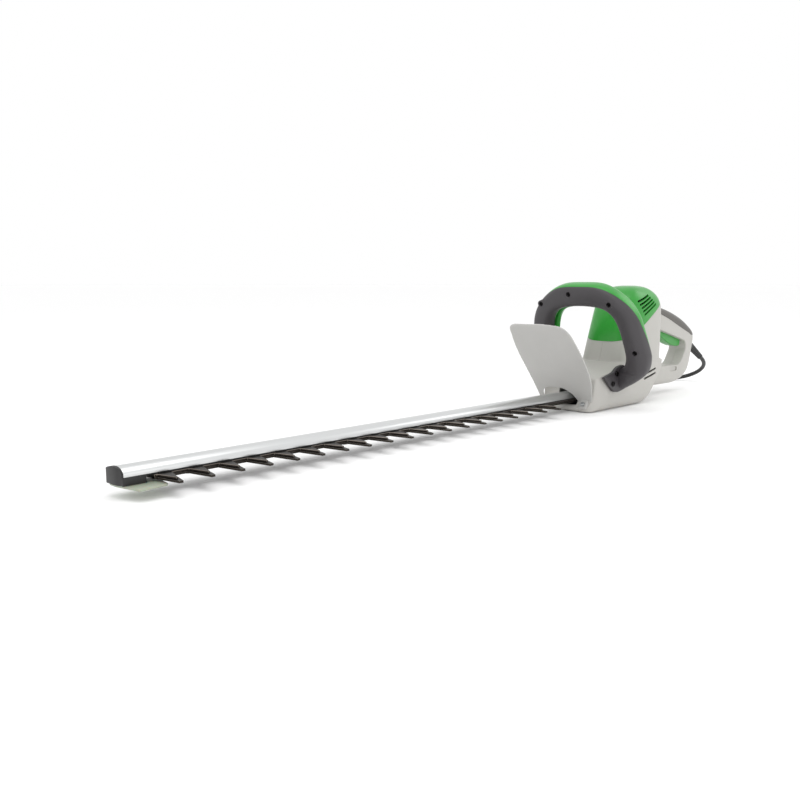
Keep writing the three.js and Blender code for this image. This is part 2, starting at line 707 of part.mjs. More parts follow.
const LOOP_LEAN = 0.28;          // forward shift of the loop's middle for each unit of height
const LOOP_LEAN_FROM = 110;      // height at which the loop's middle keeps its stated place
const leanTurn = Math.atan(LOOP_LEAN);
function leaned(solid) {
  const geometry = geometryOf(solid);
  const position = geometry.attributes.position;
  for (let i = 0; i < position.count; i += 1) {
    const depth = position.getX(i) - LOOP_PARTING_X;
    const z = position.getZ(i);
    position.setX(i, LOOP_PARTING_X + depth * Math.cos(leanTurn) + LOOP_LEAN * (z - LOOP_LEAN_FROM));
    position.setZ(i, z - depth * Math.sin(leanTurn));
  }
  return solidOf(geometry);
}

const LOOP_BEVEL = 10;
const loopForm = plate('x', shapeOf(loopOutline(0)), LOOP_X, LOOP_BEVEL, 2);
const loopHollow = plate('x', shapeOf(loopOutline(WALL)), [LOOP_X[0] + WALL, LOOP_X[1] - WALL], 6, 1);
// The parting leans further forward than the loop, so the rear shell thins to nothing above the feet.
const PARTING_SLOPE = 0.24;
const PARTING_MIDDLE_Z = 133;
const partingX = (z) => LOOP_PARTING_X + PARTING_SLOPE * (z - PARTING_MIDDLE_Z);
const besideParting = (shift, farX) => plate('y', shapeOf([
  [farX, -FAR], [partingX(-FAR) + shift, -FAR], [partingX(FAR) + shift, FAR], [farX, FAR],
]), [-FAR, FAR]);
const behindParting = besideParting(-halfGap, -2 * FAR);
const beforeParting = besideParting(halfGap, 2 * FAR);

// The foot: a flange that runs forward along the side of the base.
const footOutline = rounded([
  [14, 58, 3], [14, 34, 3], [42, 26.5, 4], [54, 28, 3], [81, 50.5, 2], [72, 53, 6], [57, 56, 6],
  [46, 64, 6], [30, 66, 3],
], 3);
const foot = (side) => plate('y', shapeOf(footOutline), side > 0 ? [FOOT_Y, 53.5] : [-53.5, -FOOT_Y]);
const footScrewXZs = [[58, 40], [49, 54]];
const footScrewHole = ([x, z]) => join(
  rod(2.3, [x, -80, z], [x, 80, z], 8),
  rod(4.2, [x, 53.5, z], [x, 90, z], 8),
  rod(4.2, [x, -90, z], [x, -53.5, z], 8),
);
const loopScrewYZs = [[-65, 157], [-14, 172], [51, 158], [84, 90], [-84, 90]];
const screwRecess = ([y, z]) => join(
  rod(3.6, [LOOP_X[1] - 5, y, z], [LOOP_X[1] + 10, y, z], 8),
  rod(1.9, [LOOP_X[0] + 5, y, z], [LOOP_X[1] + 10, y, z], 6),
);
const barBand = (grow) => cut(
  plate('x', shapeOf(loopInnerOutline(4 + grow)), [0, 100]),
  plate('x', shapeOf(loopInnerOutline(-3 - grow)), [0, 100]),
).intersect(slab('z', [82 - grow, 400]));
const SWITCH_BAR_X = [29.5, 37.5];
const SWITCH_TRAVEL = 4;
const switchBar = leaned(barBand(0).intersect(slab('x', SWITCH_BAR_X)));
const switchChannel = barBand(0.4).intersect(
  slab('x', [0, SWITCH_BAR_X[1] + SWITCH_TRAVEL + 0.5]),
);
const footPlates = join(foot(1), foot(-1));
const loopFrontShell = cut(
  join(
    leaned(cut(
      join(
        cut(loopForm.intersect(beforeParting), loopHollow),
        ...loopScrewYZs.map(([y, z]) => rod(5.6, [partingX(z) + 2, y, z], [LOOP_X[1] - 1.2, y, z], 8)),
      ),
      ...loopScrewYZs.map(screwRecess),
      switchChannel,
    )),
    cut(footPlates, leaned(join(loopForm.intersect(besideParting(halfGap, -2 * FAR)), loopHollow))),
  ),
  ...footScrewXZs.map(footScrewHole),
);
const loopRearShell = leaned(cut(
  cut(loopForm.intersect(behindParting), loopHollow),
  switchChannel,
));
const loopScrew = ([y, z]) => leaned(join(
  rod(1.6, [partingX(z) + 2.2, y, z], [LOOP_X[1] - 4, y, z], 6),
  rod(3.2, [LOOP_X[1] - 4.7, y, z], [LOOP_X[1] - 2.6, y, z], 8),
));
const footScrew = ([x, z], side) => join(
  rod(2, [x, side * (FOOT_Y + 0.2), z], [x, side * 54.2, z], 6),
  rod(3.6, [x, side * 53.8, z], [x, side * 55.6, z], 8),
);

add('loop_front_shell', largest(loopFrontShell), darkGrey());
add('loop_rear_shell', largest(loopRearShell), green());
add('switch_bar', largest(switchBar), green());
add('loop_switch', leaned(block([45, 55], [-9, 9], [161, 171])), black());
loopScrewYZs.forEach((place, i) => add(`loop_screw_${i + 1}`, loopScrew(place), steel()));
footScrewXZs.forEach((place, i) => {
  add(`foot_screw_left_${i + 1}`, footScrew(place, 1), steel());
  add(`foot_screw_right_${i + 1}`, footScrew(place, -1), steel());
});

// ---------------------------------------------------------------- hand shield
const SHIELD_FOOT = [93.4, 16];  // lower edge of the leaning plate, x and z
const SHIELD_TOP = [156, 127];
const SHIELD_THICK = 2.4;
const leanAngle = Math.atan2(SHIELD_TOP[0] - SHIELD_FOOT[0], SHIELD_TOP[1] - SHIELD_FOOT[1]);
const SCOOP = 6;                 // how far the upper sides curl forward
function handShield() {
  const reach = Math.hypot(SHIELD_TOP[0] - SHIELD_FOOT[0], SHIELD_TOP[1] - SHIELD_FOOT[1]);
  const up = (z) => (z - SHIELD_FOOT[1]) / (SHIELD_TOP[1] - SHIELD_FOOT[1]) * reach;
  const outline = rounded([
    [-38, up(16.5), 1], [-38, up(27), 6], [-28, up(34), 5], [0, up(35), 12], [15, up(26), 5],
    [20, up(16.5), 1], [43, up(16.5), 4], [54, up(52), 20], [50, up(88), 20], [38, up(125), 26],
    [0, up(128), 12], [-56, up(127), 10], [-58, up(90), 20], [-45, up(16.5), 4],
  ], 6);
  const shape = shapeOf(outline);
  const geometry = new THREE.ExtrudeGeometry(shape, { depth: SHIELD_THICK, bevelEnabled: false });
  const basis = FRAMES.x.map((v) => new THREE.Vector3(...v));
  geometry.applyMatrix4(new THREE.Matrix4().makeBasis(...basis));
  geometry.rotateY(leanAngle);
  geometry.translate(SHIELD_FOOT[0], 0, SHIELD_FOOT[1]);
  const position = geometry.attributes.position;
  for (let i = 0; i < position.count; i += 1) {
    const y = position.getY(i);
    const height = Math.max(0, (position.getZ(i) - 40) / 85);
    position.setX(i, position.getX(i) + SCOOP * height * (y / 55) ** 2);
  }
  return solidOf(geometry);
}
const shieldTab = (side) => plate('y', shapeOf([
  [92.6, 15.8], [101.7, 5.8], [103.6, 7.4], [97.4, 18.4], [95, 18.4],
]), side > 0 ? [26, 38] : [-38, -26]);
const shieldScrew = (side) => join(
  rod(1.8, [95, side * SHIELD_SCREW_Y, 6.83], [102.4, side * SHIELD_SCREW_Y, 13], 8),
  rod(3.4, [102.2, side * SHIELD_SCREW_Y, 12.83], [103.8, side * SHIELD_SCREW_Y, 14.17], 10),
);
const handShieldSolid = cut(
  join(handShield(), shieldTab(1), shieldTab(-1)),
  shieldScrewHole(1),
  shieldScrewHole(-1),
);
add('hand_shield', handShieldSolid, milky());
add('shield_screw_left', shieldScrew(1), steel());
add('shield_screw_right', shieldScrew(-1), steel());

// ---------------------------------------------------------------- cord
const reliefProfile = [
  [0, 0], [8, 0], [8, 2.5], [6.8, 2.5], [6.6, 22], [5.3, 84], [0, 84],
];
function strainRelief() {
  const points = reliefProfile.map(([r, h]) => new THREE.Vector2(r, h));
  const geometry = new THREE.LatheGeometry(points, 12);
  const turn = new THREE.Quaternion().setFromUnitVectors(new THREE.Vector3(0, 1, 0), reliefWay);
  geometry.applyQuaternion(turn);
  geometry.translate(...along(-22));
  return solidOf(geometry);
}
add('strain_relief', strainRelief(), black());

// The lead's route, by hand: out of the boot, down to the floor and in behind the base.
const reliefTip = along(62 + GAP);
const cordRoute = [
  reliefTip, along(71),
  [-353, -1.5, 40], [-363.5, -6, 33], [-372, -13.5, 25.6], [-377.5, -23.5, 18.6], [-379.5, -35, 12.6],
  [-377, -46.5, 8], [-370.5, -57, 5.2], [-360, -65.5, 3.9], [-346, -71, 3.7], [-326, -73, 3.7],
  [-298, -73, 3.7], [-266, -73, 3.7], [-236, -72.5, 3.7], [-206, -72, 3.7], [-178, -72, 3.9],
  [-152, -72, 5.6], [-128, -72, 9], [-104, -72, 12.4], [-83, -72, 13.5], [-66, -72, 13.5],
].map((point) => new THREE.Vector3(...point));
const CORD_SIDES = 8;
const CORD_STEPS = 30;
function cordTube() {
  const section = new THREE.Shape(Array.from({ length: CORD_SIDES }, (_, i) => {
    const angle = (i * 2 * Math.PI) / CORD_SIDES;
    return new THREE.Vector2(CORD_RADIUS * Math.cos(angle), CORD_RADIUS * Math.sin(angle));
  }));
  const path = new THREE.CatmullRomCurve3(cordRoute, false, 'centripetal');
  const settings = { steps: CORD_STEPS, extrudePath: path, curveSegments: 1 };
  return solidOf(new THREE.ExtrudeGeometry(section, settings));
}

// Two-pin moulded plug, lying on its side with its pins towards +X.
const PLUG_BACK_X = cordRoute[cordRoute.length - 1].x + GAP;
const PLUG_Y = -72;
const PLUG_Z = 13.5;
function plug() {
  const width = 17.5;
  const height = 13.2;
  const face = rounded([
    [PLUG_Y - width, PLUG_Z - height], [PLUG_Y + width, PLUG_Z - height],
    [PLUG_Y + width, PLUG_Z + height], [PLUG_Y - width, PLUG_Z + height],
  ], 12, 4);
  const neck = [[5.5, PLUG_BACK_X], [7.5, PLUG_BACK_X + 16]];
  const geometry = new THREE.LatheGeometry(
    [[0, neck[0][1]], ...neck, [0, neck[1][1]]].map(([r, h]) => new THREE.Vector2(r, h)), 16);
  geometry.rotateZ(-Math.PI / 2);
  geometry.translate(0, PLUG_Y, PLUG_Z);
  const bodyX = [PLUG_BACK_X + 14, PLUG_BACK_X + 36];
  const pins = [-9.5, 9.5].map((offset) => {
    return rod(2.4, [bodyX[1] - 1, PLUG_Y + offset, PLUG_Z], [bodyX[1] + 19, PLUG_Y + offset, PLUG_Z], 10);
  });
  return join(plate('x', shapeOf(face), bodyX, 3, 1), solidOf(geometry), ...pins);
}
add('cord', cordTube(), black());
add('plug', plug(), black());

export default trimmer;
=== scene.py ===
"""Looks of a corded hedge trimmer with a single-sided blade.

Lengths are millimetres in the model's own frame: +X runs along the bar, +Y is the toothed side, +Z is up.
"""
import math
from contextlib import contextmanager

import bpy
from mathutils import Matrix, Vector


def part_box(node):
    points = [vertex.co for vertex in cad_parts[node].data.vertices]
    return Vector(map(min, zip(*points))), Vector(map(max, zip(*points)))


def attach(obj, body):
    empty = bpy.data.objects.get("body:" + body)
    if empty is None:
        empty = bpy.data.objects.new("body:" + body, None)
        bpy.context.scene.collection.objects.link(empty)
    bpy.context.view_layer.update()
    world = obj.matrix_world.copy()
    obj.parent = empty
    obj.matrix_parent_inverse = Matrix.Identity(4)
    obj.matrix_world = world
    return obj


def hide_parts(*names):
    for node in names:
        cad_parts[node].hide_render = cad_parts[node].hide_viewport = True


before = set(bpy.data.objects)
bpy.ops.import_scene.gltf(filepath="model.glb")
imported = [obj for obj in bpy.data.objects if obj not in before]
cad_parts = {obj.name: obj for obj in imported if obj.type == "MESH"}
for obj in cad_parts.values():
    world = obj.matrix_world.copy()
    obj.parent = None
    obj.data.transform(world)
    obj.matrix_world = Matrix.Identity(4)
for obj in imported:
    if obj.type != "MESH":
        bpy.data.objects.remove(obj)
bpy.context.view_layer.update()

MM = 0.001
GAP = 0.3
WALL = 2.8
HOUSING, TRIGGER, SWITCH_BAR = "frame_body", "trigger_body", "switch_bar_body"
UPPER_BLADE, LOWER_BLADE = "upper_blade_body", "lower_blade_body"


# ---------------------------------------------------------------- camera
def set_camera():
    place = Vector((1.1065, 0.6673, 0.1868))
    forward = Vector((-0.6998, -0.6998, -0.1433))
    bpy.ops.object.camera_add(location=place, rotation=forward.to_track_quat("-Z", "Y").to_euler())
    camera = bpy.context.object
    camera.data.sensor_width = 36
    camera.data.lens = 36.9
    bpy.context.scene.camera = camera


set_camera()


# ---------------------------------------------------------------- modelling in code
def select_only(piece):
    bpy.ops.object.select_all(action="DESELECT")
    piece.select_set(True)
    bpy.context.view_layer.objects.active = piece


def named(name):
    piece = bpy.context.object
    piece.name = piece.data.name = name
    return piece


@contextmanager
def editing(piece):
    select_only(piece)
    bpy.ops.object.mode_set(mode="EDIT")
    bpy.ops.mesh.select_all(action="SELECT")
    yield
    bpy.ops.object.mode_set(mode="OBJECT")


def outward(piece):
    with editing(piece):
        bpy.ops.mesh.remove_doubles(threshold=1e-6)
        bpy.ops.mesh.normals_make_consistent(inside=False)


def modified(piece, kind, **settings):
    select_only(piece)
    modifier = piece.modifiers.new(kind.title(), kind)
    for key, value in settings.items():
        setattr(modifier, key, value)
    bpy.ops.object.modifier_apply(modifier=modifier.name)


def combined(piece, operation, tool, keep_tool=False):
    modified(piece, "BOOLEAN", operation=operation, object=tool, solver="MANIFOLD")
    if not keep_tool:
        bpy.data.objects.remove(tool)
    return piece


def cut(piece, *tools, keep_tools=False):
    for tool in tools:
        combined(piece, "DIFFERENCE", tool, keep_tools)
    return piece


def join(piece, *others):
    for other in others:
        combined(piece, "UNION", other)
    return piece


def copied(piece, name):
    select_only(piece)
    bpy.ops.object.duplicate()
    copy = named(name)
    copy.parent = None
    for key in list(copy.keys()):
        del copy[key]
    return copy


def rework_of(node, name):
    """A merged copy of a CAD node, ready for bevels."""
    copy = copied(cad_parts[node], name)
    copy.matrix_world = Matrix.Identity(4)
    copy.data.materials.clear()
    with editing(copy):
        bpy.ops.mesh.remove_doubles(threshold=2e-6)
        bpy.ops.mesh.dissolve_limited(angle_limit=math.radians(1))
    return copy


def bevelled(piece, width, segments=2, angle=30, **more):
    modified(piece, "BEVEL", width=width * MM, segments=segments, limit_method="ANGLE",
             angle_limit=math.radians(angle), **more)
    return piece


def smoothed(piece, angle=35):
    select_only(piece)
    bpy.ops.object.shade_smooth_by_angle(angle=math.radians(angle))
    return piece


def softened(piece, voxel, iterations):
    """Melts hard joints together, as a moulding tool's radii do."""
    modified(piece, "REMESH", mode="VOXEL", voxel_size=voxel * MM)
    modified(piece, "SMOOTH", factor=0.5, iterations=iterations)
    return piece


def swollen(piece, name, distance, voxel):
    copy = copied(piece, name)
    modified(copy, "DISPLACE", strength=distance * MM, mid_level=0, direction="NORMAL")
    modified(copy, "REMESH", mode="VOXEL", voxel_size=voxel * MM)
    return copy


AXES = {
    "x": lambda a, b, c: Vector((c, a, b)),
    "y": lambda a, b, c: Vector((a, c, b)),
    "z": lambda a, b, c: Vector((a, b, c)),
}


def extruded(name, outline, axis, low, high):
    """A plate with its outline across the axis, drawn as a ring of points and pulled to its height."""
    at = AXES[axis]
    bpy.ops.mesh.primitive_circle_add(vertices=len(outline), radius=1, fill_type="NOTHING")
    piece = named(name)
    for vertex, (a, b) in zip(piece.data.vertices, outline):
        vertex.co = at(a, b, low) * MM
    with editing(piece):
        bpy.ops.mesh.edge_face_add()
        bpy.ops.mesh.extrude_region_move(TRANSFORM_OT_translate={"value": at(0, 0, high - low) * MM})
    outward(piece)
    return piece


def block(name, xs, ys, zs):
    corners = [(xs[0], ys[0]), (xs[1], ys[0]), (xs[1], ys[1]), (xs[0], ys[1])]
    return extruded(name, corners, "z", *zs)


def surface(name, place, across, along):
    """A grid laid over place(u, v), then welded along its seam and closed at its ends."""
    bpy.ops.mesh.primitive_grid_add(x_subdivisions=across, y_subdivisions=along, size=1)
    piece = named(name)
    for vertex in piece.data.vertices:
        vertex.co = place(vertex.co.x + 0.5, vertex.co.y + 0.5) * MM
    with editing(piece):
        bpy.ops.mesh.remove_doubles(threshold=2e-6)
        bpy.ops.mesh.fill_holes(sides=0)
        bpy.ops.mesh.select_all(action="SELECT")
        bpy.ops.mesh.normals_make_consistent(inside=False)
    return piece


def rod(name, radius, start, end, sides=24):
    start, end = Vector(start) * MM, Vector(end) * MM
    turn = (end - start).to_track_quat("Z", "Y").to_euler()
    bpy.ops.mesh.primitive_cylinder_add(
        vertices=sides, radius=radius * MM, depth=(end - start).length,
        location=(start + end) / 2, rotation=turn,
    )
    piece = named(name)
    bpy.ops.object.transform_apply(location=True, rotation=True, scale=True)
    return piece


# ---------------------------------------------------------------- outlines
def rounded(points, radius=4, steps=6):
    outline = []
    for i, point in enumerate(points):
        corner = Vector(point[:2])
        own = point[2] if len(point) > 2 else radius
        before = Vector(points[i - 1][:2]) - corner
        after = Vector(points[(i + 1) % len(points)][:2]) - corner
        reach = min(own, before.length / 2.05, after.length / 2.05)
        if reach < 0.05:
            outline.append(tuple(corner))
            continue
        start, end = corner + before.normalized() * reach, corner + after.normalized() * reach
        for step in range(steps + 1):
            t = step / steps
            outline.append(tuple(start * (1 - t) ** 2 + corner * 2 * t * (1 - t) + end * t ** 2))
    return outline


def grown(points, distance):
    """The outline with every edge moved outwards by the distance."""
    count = len(points)
    area = sum(points[i][0] * points[(i + 1) % count][1] - points[(i + 1) % count][0] * points[i][1]
               for i in range(count))
    side = math.copysign(distance, area)
    moved = []
    for i, point in enumerate(points):
        here = Vector(point[:2])
        first = (here - Vector(points[i - 1][:2])).normalized()
        second = (Vector(points[(i + 1) % count][:2]) - here).normalized()
        normals = [Vector((way.y, -way.x)) for way in (first, second)]
        middle = (normals[0] + normals[1]).normalized()
        moved.append(tuple(here + middle * side / max(0.3, middle.dot(normals[0]))) + tuple(point[2:]))
    return moved


def spline(points, t):
    """A point on the smooth line through evenly numbered points, with t from 0 to 1."""
    place = t * (len(points) - 1)
    i = min(int(place), len(points) - 2)
    f = place - i
    a, b, c, d = (Vector(points[min(max(k, 0), len(points) - 1)]) for k in (i - 1, i, i + 1, i + 2))
    square, cube = 2 * a - 5 * b + 4 * c - d, 3 * b - a - 3 * c + d
    return 0.5 * (2 * b + (c - a) * f + square * f ** 2 + cube * f ** 3)


def measured_line(points, count=400):
    """The smooth line through the points, as a function of the share of its length."""
    fine = [spline(points, i / count) for i in range(count + 1)]
    run = [0.0]
    for a, b in zip(fine, fine[1:]):
        run.append(run[-1] + (b - a).length)

    def at(share):
        goal = share * run[-1]
        i = max(1, next((k for k, value in enumerate(run) if value >= goal), count))
        part = (goal - run[i - 1]) / (run[i] - run[i - 1])
        return fine[i - 1].lerp(fine[i], min(1, max(0, part)))

    return at


# ---------------------------------------------------------------- materials
def rgb(code):
    """An sRGB hex colour as the linear colour that a shader works in."""
    parts = [int(code[i:i + 2], 16) / 255 for i in (1, 3, 5)]
    return tuple(p / 12.92 if p <= 0.04045 else ((p + 0.055) / 1.055) ** 2.4 for p in parts) + (1,)


def add_node(material, kind, settings=None, **inputs):
    tree = material.node_tree
    node = tree.nodes.new(kind)
    for key, value in (settings or {}).items():
        setattr(node, key, value)
    for key, value in inputs.items():
        socket = node.inputs[int(key[1:])] if key[0] == "_" else node.inputs[key.replace("_", " ")]
        if isinstance(value, bpy.types.NodeSocket):
            tree.links.new(value, socket)
        else:
            socket.default_value = value
    return node


def started(name, **shader_values):
    """A material with its shader set, and the object's own coordinates in metres."""
    material = bpy.data.materials.new(name)
    material.use_nodes = True
    shader = material.node_tree.nodes["Principled BSDF"]
    for key, value in shader_values.items():
        shader.inputs[key.replace("_", " ")].default_value = value
    coordinates = add_node(material, "ShaderNodeTexCoord").outputs["Object"]
    return material, shader, coordinates


def noise(material, coordinates, size_mm, detail=2, stretch=(1, 1, 1)):
    """Noise whose features are about the given size, stretched along the axes."""
    if stretch != (1, 1, 1):
        scale = tuple(1 / s for s in stretch)
        mapping = add_node(material, "ShaderNodeMapping", Vector=coordinates, Scale=scale)
        coordinates = mapping.outputs["Vector"]
    made = add_node(
        material, "ShaderNodeTexNoise", Vector=coordinates, Scale=1 / (size_mm * MM), Detail=detail,
    )
    return made.outputs["Fac"]


def tinted(material, shader, factor, dark, light):
    mix = add_node(
        material, "ShaderNodeMix", {"data_type": "RGBA"}, _0=factor, _6=rgb(dark), _7=rgb(light),
    )
    material.node_tree.links.new(mix.outputs[2], shader.inputs["Base Color"])
    return mix.outputs[2]


def roughened(material, shader, factor, low, high):
    spread = add_node(material, "ShaderNodeMapRange", Value=factor, To_Min=low, To_Max=high)
    material.node_tree.links.new(spread.outputs["Result"], shader.inputs["Roughness"])


def bumped(material, shader, height, depth_mm, strength=1.0):
    bump = add_node(material, "ShaderNodeBump", Height=height, Distance=depth_mm * MM, Strength=strength)
    material.node_tree.links.new(bump.outputs["Normal"], shader.inputs["Normal"])


def moulded_plastic(name, dark, light, roughness, grain_mm, grain_depth_mm, ior=1.5, **more):
    """Injection-moulded plastic: an even colour, a spark-eroded grain, and soft patches of handling."""
    material, shader, coordinates = started(name, IOR=ior, **more)
    patches = noise(material, coordinates, 35, detail=3)
    tinted(material, shader, patches, dark, light)
    roughened(material, shader, patches, roughness - 0.06, roughness + 0.06)
    bumped(material, shader, noise(material, coordinates, grain_mm, detail=3), grain_depth_mm, 0.6)
    return material


def worked_metal(name, dark, light, roughness, stretch, line_mm=0.5, depth_mm=0.02):
    """Drawn, rolled or ground metal: fine lines that run along the way it was worked."""
    material, shader, coordinates = started(name, Metallic=1.0)
    lines = noise(material, coordinates, line_mm, detail=3, stretch=stretch)
    tinted(material, shader, lines, dark, light)
    roughened(material, shader, lines, roughness - 0.07, roughness + 0.09)
    bumped(material, shader, lines, depth_mm, 0.35)
    return material


def make_materials():
    made = {
        # light grey ABS with a fine spark-eroded grain
        "light grey ABS": moulded_plastic("light_grey_ABS", "#B2B0AB", "#BDBBB6", 0.46, 0.9, 0.03),
        # polished green ABS: the tool is smoother there, so it reflects more sharply
        "green ABS": moulded_plastic("green_ABS", "#218628", "#34A038", 0.3, 1.6, 0.015, ior=1.53),
        # glass-filled nylon: coarser grain and a dull sheen
        "dark grey nylon": moulded_plastic(
            "dark_grey_nylon", "#353235", "#403D40", 0.5, 0.8, 0.05, ior=1.53,
        ),
        "black nylon": moulded_plastic("black_nylon", "#171617", "#242324", 0.48, 0.8, 0.04, ior=1.53),
        # soft overmoulded elastomer: matte with a little sheen
        "soft grip": moulded_plastic(
            "soft_grip_elastomer", "#4C4945", "#5A5752", 0.72, 0.7, 0.06, ior=1.48, Sheen_Weight=0.25,
        ),
        # PVC sheath and boot: dark, slightly greasy
        "black PVC": moulded_plastic("black_PVC", "#0B0A0A", "#141313", 0.45, 1.2, 0.02, ior=1.54),
        # natural polypropylene: milky, light spreads inside it
        "milky polypropylene": moulded_plastic(
            "milky_polypropylene", "#B9B8B5", "#C6C5C2", 0.4, 1.4, 0.02, ior=1.49, Subsurface_Weight=0.3,
            Subsurface_Radius=(1, 1, 1), Subsurface_Scale=0.004, Transmission_Weight=0.15,
        ),
        "frosted polycarbonate": moulded_plastic(
            "frosted_polycarbonate", "#A0A896", "#B4BBAA", 0.36, 1.0, 0.02, ior=1.58, Subsurface_Weight=0.2,
            Subsurface_Scale=0.003, Transmission_Weight=0.15,
        ),
        # extruded and anodised: die lines run the length of the bar
        "anodised aluminium": worked_metal(
            "anodised_aluminium", "#C9CBCB", "#DEDFDF", 0.34, (400, 1, 1), 0.6,
        ),
        "cast aluminium": worked_metal("cast_aluminium", "#A9ABAC", "#BFC1C1", 0.5, (1, 1, 1), 1.5, 0.05),
        # hardened blade steel, darkened by heat, with rolling marks along the blade
        "blade steel": worked_metal("blade_steel", "#2B2826", "#403B37", 0.42, (40, 1, 1), 0.8),
        # the ground bevels stay brighter
        "ground steel": worked_metal("ground_steel", "#6B645E", "#8A827A", 0.32, (1, 30, 1), 0.4),
        "zinc-plated steel": worked_metal("zinc_plated_steel", "#9DA0A1", "#B7B9BA", 0.33, (1, 1, 1), 1.0),
        "black oxide steel": worked_metal("black_oxide_steel", "#1E1D1D", "#2C2B2B", 0.45, (1, 1, 1), 1.0),
        "machined steel": worked_metal("machined_steel", "#85888A", "#A3A6A7", 0.36, (1, 1, 12), 0.5),
        "enamelled copper": worked_metal(
            "enamelled_copper", "#8A4A22", "#B4682F", 0.38, (1, 1, 60), 0.9, 0.1,
        ),
        "brass": worked_metal("brass", "#A98A45", "#C6A75C", 0.35, (1, 1, 1), 1.0),
        "brush carbon": moulded_plastic("brush_carbon", "#202022", "#303033", 0.75, 0.5, 0.05, ior=1.6),
        "dipped film capacitor": moulded_plastic("dipped_film", "#B8931F", "#CDA82D", 0.35, 3.0, 0.05),
        # pale matte studio paper
        "floor": moulded_plastic("studio_paper", "#FEFEFE", "#FFFFFF", 0.9, 2.0, 0.01),
    }
    return made


MATERIALS = make_materials()


def placed(piece, material, body, slot, *replaced):
    if not any(piece.data.materials):
        piece.data.materials.clear()
        piece.data.materials.append(MATERIALS[material])
    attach(piece, body)
    if replaced:
        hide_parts(*replaced)
    return piece


# ---------------------------------------------------------------- cord, boot and plug
RELIEF_EXIT = Vector((-280, 0, 79))
RELIEF_WAY = (Vector((-339, 0, 48)) - RELIEF_EXIT).normalized()
BOOT_TIP = 62
CORD_DIAMETER = 7
CORD_ROUTE = [
    RELIEF_EXIT + RELIEF_WAY * (BOOT_TIP + GAP), RELIEF_EXIT + RELIEF_WAY * 71,
    (-353, -1.5, 40), (-363.5, -6, 33), (-372, -13.5, 25.6), (-377.5, -23.5, 18.6), (-379.5, -35, 12.6),
    (-377, -46.5, 8), (-370.5, -57, 5.2), (-360, -65.5, 3.9), (-346, -71, 3.7), (-326, -73, 3.7),
    (-298, -73, 3.7), (-266, -73, 3.7), (-236, -72.5, 3.7), (-206, -72, 3.7), (-178, -72, 3.9),
    (-152, -72, 5.6), (-128, -72, 9), (-104, -72, 12.4), (-83, -72, 13.5), (-66, -72, 13.5),
]


def make_cord():
    bpy.ops.object.select_all(action="DESELECT")
    bpy.ops.curve.primitive_bezier_curve_add()
    cord = named("rubber_lead")
    with_points = cord.data.splines[0].bezier_points
    with_points.add(len(CORD_ROUTE) - len(with_points))
    for point, place in zip(with_points, CORD_ROUTE):
        point.co = Vector(place) * MM
        point.handle_left_type = point.handle_right_type = "AUTO"
    cord.data.bevel_depth = CORD_DIAMETER * MM / 2
    cord.data.bevel_resolution = 6
    cord.data.resolution_u = 10
    cord.data.use_fill_caps = True
    cord.data.materials.append(MATERIALS["black PVC"])
    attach(cord, HOUSING)
    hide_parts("cord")
    return cord


def along_relief(distance, radius, turn):
    """A point around the boot's axis, at a distance along it."""
    across = Vector((0, 1, 0))
    up = RELIEF_WAY.cross(across)
    around = across * math.cos(turn) + up * math.sin(turn)
    return RELIEF_EXIT + RELIEF_WAY * distance + around * radius


def make_boot():
    """The boot tapers, and rings are cut into it."""
    start, end, rings = 0, BOOT_TIP, 8
    profile = [(-22, 0), (-22, 8), (-19.6, 8), (-19.4, 6.8), (start, 6.7), (6, 6.5), (10, 6.4)]
    for i in range(rings):
        z = 14 + i * 5.4
        taper = 6.3 - 0.16 * i
        profile += [(z, taper), (z + 0.6, taper - 1.1), (z + 2.2, taper - 1.1), (z + 2.8, taper - 0.1)]
    profile += [(end - 1.6, 5.0), (end, 4.5), (end, 0)]

    def place(u, v):
        distance, radius = profile[round(v * (len(profile) - 1))]
        return along_relief(distance, radius, u * 2 * math.pi)

    boot = surface("cord_boot", place, 40, len(profile) - 1)
    bevelled(boot, 0.35, 2, 40)
    return placed(smoothed(boot), "black PVC", HOUSING, "black_rubber", "strain_relief")


def make_plug():
    plug = rework_of("plug", "moulded_plug")
    _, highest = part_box("plug")
    with editing(plug):
        bpy.ops.mesh.bisect(
            plane_co=(highest[0] - 19.5 * MM, 0, 0), plane_no=(1, 0, 0), clear_outer=True, use_fill=True,
        )
    softened(plug, 0.8, 6)
    pin_y, pin_z = CORD_ROUTE[-1][1:]
    for side in (-1, 1):
        start = (highest[0] / MM - 24, pin_y + side * 9.5, pin_z)
        end = (highest[0] / MM, pin_y + side * 9.5, pin_z)
        join(plug, bevelled(rod("pin", 2.4, start, end), 0.8, 3))
    return placed(smoothed(plug, 40), "black PVC", HOUSING, "black_plastic", "plug")


the_plug = make_plug()
make_cord()
make_boot()


